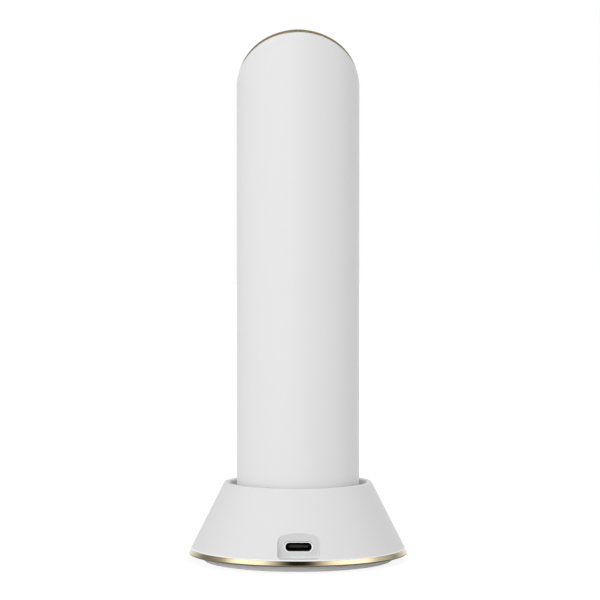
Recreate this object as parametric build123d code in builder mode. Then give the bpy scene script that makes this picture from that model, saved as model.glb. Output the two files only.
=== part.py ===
from build123d import *
from math import cos, radians, sqrt, tan
import os

os.makedirs("parts", exist_ok=True)

# Facial lifting device standing in its charging dock, in millimetres.
# +Z is up, the origin is on the table under the middle of the dock, the USB inlet faces -Y,
# and the slanted treatment face looks towards +Y.

# Clearances
slip_gap = 0.1       # round pieces that slide together once and are glued, pressed or screwed
pin_gap = 0.05       # screws, shafts, pins and plungers in their holes
touch_gap = 0.05     # pieces that meet at rest and then move apart or together
guide_gap = 0.5      # handset in the bottom of its socket
free_gap = 0.5       # inner pieces that pass each other

# Handset
handset_radius = 20.0
sleeve_wall = 1.8
handset_length = 141.8     # handset's bottom to the slanted cut, along the axis
head_tilt = 40.0           # slanted cut to the horizontal, in degrees
cut_rounding = 0.5

# Dock outside
dock_height = 25.5
mouth_gap = 2.27           # collar to handset
rim_width = 1.73
cone_spread = 10.95        # how much wider the cone is at its foot than at its rim
cone_wall = 2.0
cone_foot_rounding = 0.25
collar_depth = 4.5         # rim to the top of the socket
socket_depth = 13.0        # rim to the socket's floor
socket_wall = 1.4
socket_floor = 1.5
trim_height = 1.8
trim_proud = 0.85
trim_width = 1.45
foot_step = 0.8            # visible edge of the base plate
pad_height = 1.3
foot_inset = 3.75          # foot behind the cone's lower edge
pad_draft = 0.3
pad_bore_radius = 12.0

# Recess and USB-C inlet, which is a standard size
recess_depth = 4.25
recess_width = 13.4
recess_corner = 1.3
recess_rounding = 1.0
recess_sill = 0.4
port_wall = 1.6
usb_width = 8.94
usb_height = 3.26
usb_length = 7.35
usb_skin = 0.3
usb_back = 0.8
tongue_width = 6.7
tongue_height = 0.7
tongue_length = 5.4
usb_pin_pitch = 0.5
usb_pin_width = 0.26
usb_pin_height = 0.06
usb_pin_length = 3.8
usb_pin_count = 12

# Screws
screw_radius = 1.0
screw_head_radius = 1.9
screw_head_height = 1.0
screw_length = 5.0
small_screw_radius = 0.7
small_screw_head_radius = 1.4
small_screw_head_height = 0.8
small_screw_length = 3.4
socket_bit_radius = 0.6
socket_bit_depth = 0.5

# Dock inside
boss_radius = 3.0
boss_inset = 7.45          # boss axis behind the cone's lower edge
boss_count = 3
weight_height = 4.0
dock_board_width = 20.0
dock_board_end = 12.0
board_thickness = 1.2
standoff_height = 1.2
standoff_radius = 2.0
dock_standoff_x = 14.0
dock_standoff_y = 18.0
standoff_shift = 2.5       # standoffs' middle towards the inlet from the board's middle
chip_height = 1.0
dock_passive_spacing = 11.0

# Spring contacts between dock and handset
contact_pitch = 8.0
contact_radius = 1.55
contact_flange_radius = 2.2
contact_flange_height = 0.6
contact_recess = 0.8
pogo_radius = 0.75
pogo_flange_radius = 1.1
pogo_flange_height = 1.0
pogo_stem_radius = 0.45
pogo_stem_share = 0.8      # stem against the spring at its shortest
pogo_travel = 1.0
pogo_spring_wire = 0.22
pogo_spring_turns = 6
pogo_housing_width = 13.0
pogo_housing_depth = 5.0
pogo_housing_corner = 0.8
pogo_housing_floor = 0.6
pogo_collar_height = 1.1
pogo_collar_wall = 0.5
tip_share = 0.8            # rounding of small tips against their size

# Handset's lower end
cap_height = 4.0
cap_rounding = 0.8
cap_spigot = 5.5
cap_floor = 2.0
cap_wall = 1.6
cap_screw_x = 22.0
seal_wire = 1.0
seal_height = 2.5          # seal over the cap's shoulder
key_width = 2.0
key_height = 3.5
key_reach = 0.6            # key rib inside the handset's outline
lead_radius = 0.5

# Handset's inner frame and battery
frame_gap = 2.0            # cap's spigot to the frame
deck_thickness = 2.0
battery_radius = 9.15
battery_length = 50.0
battery_board_thickness = 1.0
spine_gap = 0.3            # cell to the spine behind it
cradle_thickness = 1.5
cradle_height = 5.0
cradle_spacing = 28.0
spine_thickness = 1.5
spine_width = 28.0
motor_radius = 6.0
motor_length = 10.0
motor_shaft_radius = 0.75
motor_shaft_depth = 5.0
motor_weight_radius = 5.0
motor_weight_height = 4.0
motor_weight_gap = 1.0

# Main board
main_board_width = 24.0
board_end_gap = 5.0        # board's ends to the frame's decks
post_inset = 6.0
post_spacing = 19.0
back_part_width = 14.0
bobbin_share = 0.8         # transformer's core and bobbin against each other
capacitor_radius = 2.2
capacitor_gap = 0.6
connector_share = 0.75     # connectors and capacitors against the room behind the board
connector_length = 4.0
chip_size = 7.0
driver_size = 5.0
driver_width = 6.0
small_chip_length = 3.0
small_chip_width = 3.9
passive_length = 2.4
passive_width = 1.4
passive_pitch = 4.0
chip_gap = 6.0

# Control panel, switches and lights on the treatment side
panel_gap = 2.0            # panel to the inner frame's upper deck
panel_length = 46.0
panel_width = 13.0
panel_flange = 1.2
panel_margin = 1.2
button_radius = 4.7
button_proud = 0.3
button_flange_radius = 5.4
button_flange_height = 0.8
button_stem_radius = 1.5
button_stem_length = 0.6
button_travel = 0.4
button_rounding = 0.4
power_button_drop = 13.0   # under the panel's middle
button_pitch = 12.5
switch_width = 6.0
switch_height = 2.0
switch_plunger_radius = 1.7
switch_plunger_proud = 1.3
switch_plunger_sunk = 0.4
light_count = 4
light_pitch = 3.0
light_rise = 8.0           # first light over the panel's middle
light_radius = 0.8
led_height = 0.8
led_width = 1.6

# Treatment head, measured square to the slanted cut unless it says radius
bezel_inset = 0.33
bezel_width = 2.67
bezel_proud = 0.6
bezel_lip = 1.2
bezel_depth = 6.0
bezel_spigot_wall = 0.6
plate_proud = 1.6
plate_rounding = 1.2
plate_flange = 1.2
gasket_height = 1.0
gasket_width = 1.9
carrier_wall = 1.5
ledge_width = 1.7
ledge_height = 1.6
head_board_drop = 1.4      # head board under the carrier's top
head_bay_gap = 3.0
electrode_radius = 3.0
electrode_height = 1.0
electrode_rounding = 0.8
electrode_stem_radius = 1.5
electrode_pitch_x = 15.0
electrode_pitch_y = 22.0
lens_radius = 4.2
lens_length = 13.0
lens_proud = 0.3
lens_depth = 4.6
sensor_radius = 1.2
sensor_edge = 5.7          # sensor's axis to the plate's far edge
sensor_proud = 0.4
flex_width = 8.0
flex_thickness = 0.3

# Heights and radii that follow from them
plate_bottom_z = pad_height
trim_bottom_z = pad_height + foot_step
plate_top_z = trim_bottom_z + trim_height
plate_thickness = plate_top_z - plate_bottom_z
mouth_radius = handset_radius + mouth_gap
rim_radius = mouth_radius + rim_width
rim_rounding = rim_width / 3
cone_foot_radius = rim_radius + cone_spread
cone_slope = cone_spread / (dock_height - plate_top_z)
socket_top_z = dock_height - collar_depth
floor_z = dock_height - socket_depth
socket_base_z = floor_z - socket_floor
socket_radius = handset_radius + guide_gap
foot_radius = cone_foot_radius - foot_inset
trim_inner_radius = cone_foot_radius - trim_width
base_plate_radius = trim_inner_radius - slip_gap
boss_circle = cone_foot_radius - boss_inset
leg_circle = socket_radius + socket_wall - boss_radius - guide_gap
port_face = cone_foot_radius - recess_depth
dock_board_z = plate_top_z + standoff_height
dock_board_top_z = dock_board_z + board_thickness
usb_z = dock_board_top_z + usb_height / 2
dock_board_start = port_face - port_wall - slip_gap
dock_standoff_mid = (dock_board_end - dock_board_start) / 2 - standoff_shift

sleeve_inner = handset_radius - sleeve_wall
spigot_radius = sleeve_inner - slip_gap
cap_floor_z = floor_z + cap_floor
shoulder_z = floor_z + cap_height
spigot_top_z = shoulder_z + cap_spigot
frame_base_z = spigot_top_z + frame_gap
frame_floor_z = frame_base_z + deck_thickness
battery_top_z = frame_floor_z + battery_length
battery_board_top_z = battery_top_z + battery_board_thickness
shelf_z = battery_board_top_z + 2 * lead_radius + free_gap
motor_z = shelf_z + deck_thickness
motor_top_z = motor_z + motor_length

cut_axis_z = floor_z + handset_length
tilt_cos = cos(radians(head_tilt))
tilt_tan = tan(radians(head_tilt))
head_normal = Vector(0, 0, 1).rotate(Axis.X, -head_tilt)
head_plane = Plane(origin=(0, 0, cut_axis_z), x_dir=(1, 0, 0), z_dir=head_normal)
bezel_radius = handset_radius - bezel_inset
opening_radius = bezel_radius - bezel_width
seat_radius = spigot_radius - bezel_spigot_wall
plate_flange_bottom = -bezel_lip - plate_flange
carrier_top = plate_flange_bottom - gasket_height
carrier_radius = seat_radius - slip_gap
carrier_inner = carrier_radius - carrier_wall
head_board_top = carrier_top - head_board_drop
head_board_bottom = head_board_top - board_thickness
ledge_bottom = head_board_bottom - ledge_height
sensor_offset = opening_radius / tilt_cos - sensor_edge
frame_top_z = cut_axis_z - carrier_radius * tilt_tan + ledge_bottom / tilt_cos - head_bay_gap
frame_deck_z = frame_top_z - deck_thickness
whole_height = cut_axis_z + handset_radius * tilt_tan + bezel_proud / tilt_cos

panel_z = frame_deck_z - panel_gap - panel_margin - panel_length / 2
panel_inner = spigot_radius - panel_flange
power_z = panel_z - power_button_drop
mode_z = power_z + button_pitch
light_z = [panel_z + light_rise + light_pitch * i for i in range(light_count)]
button_flange_y = sqrt(panel_inner**2 - button_flange_radius**2) - slip_gap
button_back_y = button_flange_y - button_flange_height
stem_end_y = button_back_y - button_stem_length
plunger_top_y = stem_end_y - touch_gap
board_face_y = plunger_top_y - switch_plunger_proud - switch_height
board_back_y = board_face_y - board_thickness
cradle_radius = battery_radius + slip_gap + cradle_thickness
battery_y = -(spigot_radius - cradle_radius - free_gap)
spine_back_y = battery_y + battery_radius + spine_gap
spine_front_y = spine_back_y + spine_thickness
back_part_height = board_back_y - spine_front_y - free_gap
connector_height = back_part_height * connector_share
contact_offset = board_back_y - connector_height
board_start_z = frame_floor_z + board_end_gap
board_end_z = frame_deck_z - board_end_gap
main_board_length = board_end_z - board_start_z


def cone_radius(z):
    return rim_radius + (dock_height - z) * cone_slope


def slanted_section(radius, lift):
    """Section of an upright cylinder by the plane that lies this far over the slanted cut."""
    with BuildSketch(head_plane.offset(lift)) as section:
        with Locations((0, -lift * tilt_tan)):
            Ellipse(radius, radius / tilt_cos)
    return section.sketch


def slanted_disc(radius, low, high, mode=Mode.ADD):
    """Upright cylinder between two planes parallel to the slanted cut."""
    extrude(slanted_section(radius, low), amount=(high - low) / tilt_cos, dir=(0, 0, 1), mode=mode)


def curved_pill(width, length, inner, outer):
    """Upright pill on the treatment side, curved like the sleeve between two radii."""
    with BuildPart() as pill:
        with BuildSketch(Plane.XY.offset(panel_z - length / 2)):
            Circle(outer)
            Circle(inner, mode=Mode.SUBTRACT)
        extrude(amount=length)
        with BuildSketch(Plane.XZ):
            with Locations((0, panel_z)):
                SlotOverall(length, width, rotation=90)
        extrude(amount=-outer, mode=Mode.INTERSECT)
    return pill.part


def places_on(circle):
    """Three places on a circle of this radius, the first of them on the treatment side."""
    return [Vector(0, circle).rotate(Axis.Z, 360 / boss_count * i) for i in range(boss_count)]


boss_places = places_on(boss_circle)
leg_places = places_on(leg_circle)

# Dock: base plate, its foot and the ballast weight

with BuildPart() as dock_base_plate:
    with BuildSketch(Plane.XY.offset(plate_bottom_z)):
        Circle(foot_radius)
    extrude(amount=foot_step)
    with BuildSketch(Plane.XY.offset(trim_bottom_z)):
        Circle(base_plate_radius)
    extrude(amount=trim_height)
    with BuildSketch(Plane.XY.offset(plate_top_z)):
        with Locations((0, dock_standoff_mid)):
            with GridLocations(dock_standoff_x, dock_standoff_y, 2, 2):
                Circle(standoff_radius)
    extrude(amount=standoff_height)
    with BuildSketch(Plane.XY.offset(dock_board_z)):
        with Locations((0, dock_standoff_mid)):
            with GridLocations(dock_standoff_x, dock_standoff_y, 2, 2):
                Circle(small_screw_radius + pin_gap)
    extrude(amount=-small_screw_length, mode=Mode.SUBTRACT)
    with BuildSketch(Plane.XY.offset(plate_bottom_z)):
        with Locations(*boss_places, *leg_places):
            Circle(screw_radius + pin_gap)
    extrude(amount=plate_thickness, mode=Mode.SUBTRACT)
    with BuildSketch(Plane.XY.offset(plate_bottom_z)):
        with Locations(*boss_places, *leg_places):
            Circle(screw_head_radius + slip_gap)
    extrude(amount=screw_head_height, mode=Mode.SUBTRACT)
dock_base_plate.part.label = "dock_base_plate"
export_step(dock_base_plate.part, "parts/dock_base_plate.step")

with BuildPart() as dock_foot_pad:
    with BuildSketch(Plane.XZ):
        with BuildLine():
            Polyline(
                (pad_bore_radius, 0),
                (foot_radius - pad_draft, 0),
                (foot_radius, pad_height),
                (pad_bore_radius, pad_height),
                close=True,
            )
        make_face()
    revolve(axis=Axis.Z)
dock_foot_pad.part.label = "dock_foot_pad"
export_step(dock_foot_pad.part, "parts/dock_foot_pad.step")

with BuildPart() as dock_weight:
    with BuildSketch(Plane.XY.offset(plate_top_z)):
        Circle(boss_circle - boss_radius - free_gap)
        with Locations((0, -handset_radius)):
            Rectangle(
                dock_board_width + 2 * free_gap,
                handset_radius + dock_board_end + free_gap,
                align=(Align.CENTER, Align.MIN),
                mode=Mode.SUBTRACT,
            )
        with Locations((0, -handset_radius)):
            Rectangle(
                dock_board_width + 2 * free_gap,
                cone_foot_radius,
                align=(Align.CENTER, Align.MAX),
                mode=Mode.SUBTRACT,
            )
        with Locations(*leg_places):
            Circle(boss_radius + slip_gap, mode=Mode.SUBTRACT)
    extrude(amount=weight_height)
dock_weight.part.label = "dock_weight"
export_step(dock_weight.part, "parts/dock_weight.step")

# Dock: the gold ring round its lower edge, a bent and polished strip with a rounded face

with BuildPart() as dock_trim_ring:
    with BuildSketch(Plane.XZ):
        with BuildLine():
            ring_back = Polyline(
                (cone_foot_radius - slip_gap / 2, plate_top_z),
                (trim_inner_radius, plate_top_z),
                (trim_inner_radius, trim_bottom_z),
                (cone_foot_radius + trim_proud / 2, trim_bottom_z),
            )
            ThreePointArc(
                ring_back @ 1,
                (cone_foot_radius + trim_proud, trim_bottom_z + trim_height / 3),
                ring_back @ 0,
            )
        make_face()
    revolve(axis=Axis.Z)
dock_trim_ring.part.label = "dock_trim_ring"
export_step(dock_trim_ring.part, "parts/dock_trim_ring.step")

# Dock: shell, a moulded cone with a collar, three screw bosses and the wall behind the inlet

boss_top_z = dock_height - (boss_circle + cone_wall - rim_radius) / cone_slope

with BuildPart() as shell_inside:
    with BuildSketch(Plane.XY.offset(plate_top_z)):
        with Locations(*boss_places):
            Circle(boss_radius)
    extrude(amount=boss_top_z - plate_top_z)
    with BuildSketch(Plane.XY.offset(plate_top_z)):
        with Locations((0, -(port_face - port_wall))):
            Rectangle(
                recess_width + 2 * port_wall,
                recess_depth + port_wall,
                align=(Align.CENTER, Align.MAX),
            )
    extrude(amount=(cone_foot_radius - port_face + cone_wall) / cone_slope)
    with BuildSketch(Plane.XZ):
        with BuildLine():
            Polyline(
                (0, plate_top_z),
                (cone_foot_radius - cone_wall / 2, plate_top_z),
                (rim_radius - cone_wall / 2, dock_height),
                (0, dock_height),
                close=True,
            )
        make_face()
    revolve(axis=Axis.Z, mode=Mode.INTERSECT)

with BuildPart() as dock_shell:
    with BuildSketch(Plane.XZ):
        with BuildLine():
            Polyline(
                (mouth_radius, socket_top_z),
                (mouth_radius, dock_height),
                (rim_radius, dock_height),
                (cone_foot_radius, plate_top_z),
                (cone_foot_radius - cone_wall, plate_top_z),
                (cone_radius(socket_top_z) - cone_wall, socket_top_z),
                close=True,
            )
        make_face()
    revolve(axis=Axis.Z)
    rim_edges = dock_shell.edges().filter_by(GeomType.CIRCLE).group_by(Axis.Z)[-1]
    fillet(rim_edges, radius=rim_rounding)
    foot_edges = dock_shell.edges().filter_by(GeomType.CIRCLE).group_by(Axis.Z)[0]
    fillet(foot_edges.sort_by(SortBy.RADIUS)[-1], radius=cone_foot_rounding)
    add(shell_inside.part)
    with BuildSketch(Plane.XZ.offset(port_face)) as recess_outline:
        with Locations((0, plate_top_z + recess_sill)):
            Rectangle(recess_width, dock_height, align=(Align.CENTER, Align.MIN))
        fillet(recess_outline.vertices().group_by(Axis.Y)[0], radius=recess_corner)
    extrude(amount=3 * recess_depth, mode=Mode.SUBTRACT)
    recess_face = dock_shell.faces().filter_by(Axis.Y).filter_by_position(
        Axis.Y, -port_face - slip_gap, -port_face + slip_gap
    )
    recess_edges = recess_face.edges().filter_by(Axis.Z) + recess_face.edges().filter_by(Axis.X)
    recess_edges += recess_face.edges().filter_by(GeomType.CIRCLE)
    fillet(recess_edges, radius=recess_rounding)
    with BuildSketch(Plane.XZ.offset(port_face - 2 * port_wall)):
        with Locations((0, usb_z)):
            SlotOverall(usb_width + 2 * slip_gap, usb_height + 2 * slip_gap)
    extrude(amount=4 * port_wall, mode=Mode.SUBTRACT)
    with BuildSketch(Plane.XY.offset(plate_top_z)):
        with Locations(*boss_places):
            Circle(screw_radius + pin_gap)
    extrude(amount=screw_length, mode=Mode.SUBTRACT)
dock_shell.part.label = "dock_shell"
export_step(dock_shell.part, "parts/dock_shell.step")

# Dock: socket that the handset stands in, on three legs over the base plate

housing_top_z = floor_z - pin_gap
pogo_collar_depth = 2 * (pogo_flange_radius + pin_gap + pogo_collar_wall)
pogo_collar_width = contact_pitch + pogo_collar_depth

with BuildPart() as dock_socket:
    with BuildSketch(Plane.XZ):
        with BuildLine():
            Polyline(
                (0, socket_base_z),
                (socket_radius + socket_wall, socket_base_z),
                (mouth_radius + socket_wall, socket_top_z),
                (mouth_radius, socket_top_z),
                (socket_radius, floor_z),
                (0, floor_z),
                close=True,
            )
        make_face()
    revolve(axis=Axis.Z)
    with BuildSketch(Plane.XY.offset(plate_top_z)):
        with Locations(*leg_places):
            Circle(boss_radius)
    extrude(amount=socket_base_z - plate_top_z)
    with BuildSketch(Plane.XY.offset(plate_top_z)):
        with Locations(*leg_places):
            Circle(screw_radius + pin_gap)
    extrude(amount=screw_length, mode=Mode.SUBTRACT)
    with BuildSketch(Plane.XY.offset(floor_z - socket_floor / 2)):
        with Locations((0, handset_radius - key_reach)):
            Rectangle(key_width, key_reach + guide_gap + socket_wall / 2, align=(Align.CENTER, Align.MIN))
    extrude(amount=key_height + socket_floor / 2)
    with BuildSketch(Plane.XY.offset(socket_base_z)):
        with Locations((0, contact_offset)):
            SlotOverall(pogo_collar_width + 2 * slip_gap, pogo_collar_depth + 2 * slip_gap)
    extrude(amount=socket_floor, mode=Mode.SUBTRACT)
dock_socket.part.label = "dock_socket"
export_step(dock_socket.part, "parts/dock_socket.step")

# Dock: circuit board with its charging parts, screwed to four standoffs

with BuildPart() as dock_board:
    with BuildSketch(Plane.XY.offset(dock_board_z)):
        with Locations((0, -dock_board_start)):
            Rectangle(dock_board_width, dock_board_start + dock_board_end, align=(Align.CENTER, Align.MIN))
        with Locations((0, dock_standoff_mid)):
            with GridLocations(dock_standoff_x, dock_standoff_y, 2, 2):
                Circle(small_screw_radius + pin_gap, mode=Mode.SUBTRACT)
    extrude(amount=board_thickness)
dock_board.part.label = "dock_board"
export_step(dock_board.part, "parts/dock_board.step")

with BuildPart() as dock_board_screws:
    with BuildSketch(Plane.XY.offset(dock_board_top_z)):
        with Locations((0, dock_standoff_mid)):
            with GridLocations(dock_standoff_x, dock_standoff_y, 2, 2):
                Circle(small_screw_head_radius)
    extrude(amount=small_screw_head_height)
    with BuildSketch(Plane.XY.offset(dock_board_top_z)):
        with Locations((0, dock_standoff_mid)):
            with GridLocations(dock_standoff_x, dock_standoff_y, 2, 2):
                Circle(small_screw_radius)
    extrude(amount=-small_screw_length)
dock_board_screws.part.label = "dock_board_screws"
export_step(dock_board_screws.part, "parts/dock_board_screws.step")

with BuildPart() as dock_board_chips:
    with BuildSketch(Plane.XY.offset(dock_board_top_z)):
        with Locations((0, dock_standoff_mid)):
            Rectangle(driver_size, driver_size)
            with GridLocations(dock_passive_spacing, passive_pitch, 2, 3):
                Rectangle(passive_length, passive_width)
        with Locations((0, dock_standoff_mid - driver_size)):
            Rectangle(driver_width, small_chip_length)
    extrude(amount=chip_height)
dock_board_chips.part.label = "dock_board_chips"
export_step(dock_board_chips.part, "parts/dock_board_chips.step")

# Dock: USB-C inlet, a drawn steel shell with its tongue and two rows of contacts

with BuildPart() as usb_shell:
    with BuildSketch(Plane.XZ.offset(port_face)):
        with Locations((0, usb_z)):
            SlotOverall(usb_width, usb_height)
    extrude(amount=-usb_length)
    with BuildSketch(Plane.XZ.offset(port_face)):
        with Locations((0, usb_z)):
            SlotOverall(usb_width - 2 * usb_skin, usb_height - 2 * usb_skin)
    extrude(amount=-(usb_length - usb_back), mode=Mode.SUBTRACT)
usb_shell.part.label = "usb_shell"
export_step(usb_shell.part, "parts/usb_shell.step")

tongue_back = port_face - usb_length + usb_back
with BuildPart() as usb_tongue:
    with BuildSketch(Plane.XZ.offset(tongue_back)):
        with Locations((0, usb_z)):
            Rectangle(tongue_width, tongue_height)
    extrude(amount=tongue_length)
    tongue_tip = usb_tongue.faces().sort_by(Axis.Y)[0]
    fillet(tongue_tip.edges().filter_by(Axis.Z), radius=tongue_height)
usb_tongue.part.label = "usb_tongue"
export_step(usb_tongue.part, "parts/usb_tongue.step")

with BuildPart() as usb_contacts:
    contact_start = tongue_back + (tongue_length - usb_pin_length) / 2
    with BuildSketch(Plane.XZ.offset(contact_start)):
        with Locations((0, usb_z)):
            with GridLocations(usb_pin_pitch, tongue_height + usb_pin_height, usb_pin_count, 2):
                Rectangle(usb_pin_width, usb_pin_height)
    extrude(amount=usb_pin_length)
usb_contacts.part.label = "usb_contacts"
export_step(usb_contacts.part, "parts/usb_contacts.step")

# Dock: two spring contacts in one housing that stands on the board and shows in the socket's floor

pogo_top_z = floor_z + contact_recess - touch_gap
pogo_stop_z = housing_top_z - pogo_collar_height
pogo_flange_z = pogo_stop_z - pogo_flange_height
pogo_bore_z = dock_board_top_z + pogo_housing_floor
pogo_spring_height = pogo_flange_z - pogo_bore_z
pogo_spring_radius = (pogo_flange_radius + pogo_stem_radius) / 2
pogo_places = [(-contact_pitch / 2, contact_offset), (contact_pitch / 2, contact_offset)]

with BuildPart() as pogo_housing:
    with BuildSketch(Plane.XY.offset(dock_board_top_z)):
        with Locations((0, contact_offset)):
            RectangleRounded(pogo_housing_width, pogo_housing_depth, pogo_housing_corner)
    extrude(amount=socket_base_z - dock_board_top_z)
    with BuildSketch(Plane.XY.offset(socket_base_z)):
        with Locations((0, contact_offset)):
            SlotOverall(pogo_collar_width, pogo_collar_depth)
    extrude(amount=housing_top_z - socket_base_z)
    with BuildSketch(Plane.XY.offset(pogo_bore_z)):
        with Locations(*pogo_places):
            Circle(pogo_flange_radius + pin_gap)
    extrude(amount=pogo_stop_z - pogo_bore_z, mode=Mode.SUBTRACT)
    with BuildSketch(Plane.XY.offset(pogo_stop_z)):
        with Locations(*pogo_places):
            Circle(pogo_radius + pin_gap)
    extrude(amount=pogo_collar_height, mode=Mode.SUBTRACT)
pogo_housing.part.label = "pogo_housing"
export_step(pogo_housing.part, "parts/pogo_housing.step")

for side, place in zip(("left", "right"), pogo_places):
    with BuildPart() as pogo_pin:
        with BuildSketch(Plane.XY.offset(pogo_flange_z)):
            with Locations(place):
                Circle(pogo_flange_radius)
        extrude(amount=pogo_flange_height)
        with BuildSketch(Plane.XY.offset(pogo_flange_z)):
            with Locations(place):
                Circle(pogo_radius)
        extrude(amount=pogo_top_z - pogo_flange_z)
        pin_tip = pogo_pin.edges().filter_by(GeomType.CIRCLE).sort_by(Axis.Z)[-1]
        fillet(pin_tip, radius=pogo_radius * tip_share)
        with BuildSketch(Plane.XY.offset(pogo_flange_z)):
            with Locations(place):
                Circle(pogo_stem_radius)
        extrude(amount=-(pogo_spring_height - pogo_travel) * pogo_stem_share)
    pogo_pin.part.label = "pogo_pin_" + side
    export_step(pogo_pin.part, "parts/pogo_pin_" + side + ".step")

    spring_rise = pogo_spring_height - pogo_spring_wire - 2 * pin_gap
    with BuildPart() as pogo_spring:
        with BuildLine():
            coil = Helix(
                pitch=spring_rise / pogo_spring_turns,
                height=spring_rise,
                radius=pogo_spring_radius,
                center=(place[0], place[1], pogo_bore_z + pogo_spring_wire / 2 + pin_gap),
            )
        with BuildSketch(Plane(origin=coil @ 0, z_dir=coil % 0)):
            Circle(pogo_spring_wire / 2)
        sweep(is_frenet=True)
    pogo_spring.part.label = "pogo_spring_" + side
    export_step(pogo_spring.part, "parts/pogo_spring_" + side + ".step")

# Handset: long moulded sleeve, cut by the slanted plane, with a window for the control panel

with BuildPart() as handset_sleeve:
    with BuildSketch(Plane.XY.offset(shoulder_z)):
        Circle(handset_radius)
        Circle(sleeve_inner, mode=Mode.SUBTRACT)
    extrude(amount=whole_height - shoulder_z)
    split(bisect_by=head_plane, keep=Keep.BOTTOM)
    cut_edges = handset_sleeve.edges().filter_by(GeomType.ELLIPSE).sort_by(SortBy.LENGTH)
    fillet(cut_edges[-1], radius=cut_rounding)
    with BuildSketch(Plane.XZ):
        with Locations((0, panel_z)):
            SlotOverall(panel_length, panel_width, rotation=90)
    extrude(amount=-2 * handset_radius, mode=Mode.SUBTRACT)
handset_sleeve.part.label = "handset_sleeve"
export_step(handset_sleeve.part, "parts/handset_sleeve.step")

# Handset: bottom cap with its spigot, key groove, contact holes and seal groove

contact_places = pogo_places
cap_screw_places = [(-cap_screw_x / 2, 0), (cap_screw_x / 2, 0)]
seal_z = shoulder_z + seal_height
seal_radius = sleeve_inner - seal_wire / 2 - pin_gap / 2
groove_radius = seal_radius - seal_wire / 2 - pin_gap / 2

with BuildPart() as bottom_cap:
    with BuildSketch(Plane.XY.offset(floor_z)):
        Circle(handset_radius)
    extrude(amount=cap_height)
    fillet(bottom_cap.edges().sort_by(Axis.Z)[0], radius=cap_rounding)
    with BuildSketch(Plane.XY.offset(shoulder_z)):
        Circle(spigot_radius)
    extrude(amount=cap_spigot)
    with BuildSketch(Plane.XY.offset(cap_floor_z)):
        Circle(spigot_radius - cap_wall)
    extrude(amount=spigot_top_z - cap_floor_z, mode=Mode.SUBTRACT)
    with BuildSketch(Plane.XY.offset(seal_z - seal_wire / 2 - pin_gap)):
        Circle(spigot_radius + slip_gap)
        Circle(groove_radius, mode=Mode.SUBTRACT)
    extrude(amount=seal_wire + 2 * pin_gap, mode=Mode.SUBTRACT)
    with BuildSketch(Plane.XY.offset(floor_z)):
        with Locations((0, handset_radius - key_reach - guide_gap)):
            Rectangle(key_width + 2 * guide_gap, handset_radius, align=(Align.CENTER, Align.MIN))
    extrude(amount=key_height + free_gap / 2, mode=Mode.SUBTRACT)
    with BuildSketch(Plane.XY.offset(floor_z)):
        with Locations(*contact_places):
            Circle(contact_radius + pin_gap)
    extrude(amount=cap_floor, mode=Mode.SUBTRACT)
    with BuildSketch(Plane.XY.offset(floor_z)):
        with Locations(*cap_screw_places):
            Circle(screw_radius + pin_gap)
    extrude(amount=cap_floor, mode=Mode.SUBTRACT)
    with BuildSketch(Plane.XY.offset(floor_z)):
        with Locations(*cap_screw_places):
            Circle(screw_head_radius + slip_gap)
    extrude(amount=screw_head_height, mode=Mode.SUBTRACT)
bottom_cap.part.label = "bottom_cap"
export_step(bottom_cap.part, "parts/bottom_cap.step")

with BuildPart() as bottom_seal:
    with BuildSketch(Plane.XZ):
        with Locations((seal_radius, seal_z)):
            Circle(seal_wire / 2)
    revolve(axis=Axis.Z)
bottom_seal.part.label = "bottom_seal"
export_step(bottom_seal.part, "parts/bottom_seal.step")

contact_top_z = cap_floor_z + contact_flange_height
with BuildPart() as charge_contacts:
    with BuildSketch(Plane.XY.offset(floor_z + contact_recess)):
        with Locations(*contact_places):
            Circle(contact_radius)
    extrude(amount=contact_top_z - floor_z - contact_recess)
    with BuildSketch(Plane.XY.offset(cap_floor_z)):
        with Locations(*contact_places):
            Circle(contact_flange_radius)
    extrude(amount=contact_flange_height)
charge_contacts.part.label = "charge_contacts"
export_step(charge_contacts.part, "parts/charge_contacts.step")

# Screws put in from below: shell and socket to the base plate, cap to the inner frame

screw_groups = (
    ("dock_shell_screws", boss_places, plate_bottom_z),
    ("dock_socket_screws", leg_places, plate_bottom_z),
    ("bottom_cap_screws", cap_screw_places, floor_z),
)
for name, places, head_z in screw_groups:
    with BuildPart() as screws:
        with BuildSketch(Plane.XY.offset(head_z)):
            with Locations(*places):
                Circle(screw_head_radius)
        extrude(amount=screw_head_height)
        with BuildSketch(Plane.XY.offset(head_z)):
            with Locations(*places):
                Circle(screw_radius)
        extrude(amount=screw_head_height + screw_length)
        with BuildSketch(Plane.XY.offset(head_z)):
            with Locations(*places):
                RegularPolygon(socket_bit_radius, 6)
        extrude(amount=socket_bit_depth, mode=Mode.SUBTRACT)
    screws.part.label = name
    export_step(screws.part, "parts/" + name + ".step")

# Handset: inner frame, which carries the battery, the motor and the main board

window_width = 3 * contact_pitch / 2
post_low_z = board_start_z + post_inset
post_high_z = board_end_z - post_inset
battery_mid_z = frame_floor_z + battery_length / 2

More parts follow.
